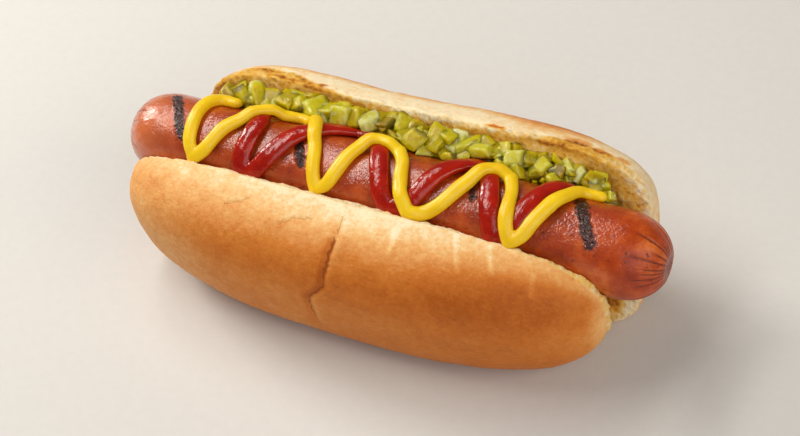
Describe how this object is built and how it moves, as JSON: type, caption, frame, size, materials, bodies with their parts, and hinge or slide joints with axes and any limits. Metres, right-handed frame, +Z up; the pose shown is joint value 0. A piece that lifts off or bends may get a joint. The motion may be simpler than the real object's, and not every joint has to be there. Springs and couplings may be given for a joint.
{
  "type": "hot dog",
  "caption": "Hot dog: a grilled sausage in a split soft bun, with pickle relish along its back and squeezed zigzags of ketchup and mustard on top.",
  "frame": {"origin": "on the surface that the bun rests on, under the middle of the hot dog's bounding box", "axes": "+X along the sausage, +Y from the front half of the bun to the half with the relish, +Z up"},
  "size_m": [0.1672, 0.0737, 0.0555],
  "materials": {
    "bread": "soft baked crust, pale at the cut and golden brown below",
    "sausage_skin": "smooth, slightly greasy skin with charred grill marks",
    "pickle": "wet, part see-through dice of pickled cucumber",
    "ketchup": "smooth glossy sauce",
    "mustard": "smooth satin-gloss sauce"
  },
  "bodies": {
    "root": {"bun": "bread", "sausage": "sausage_skin", "relish": "pickle", "ketchup": "ketchup", "mustard": "mustard"}
  },
  "joints": []
}
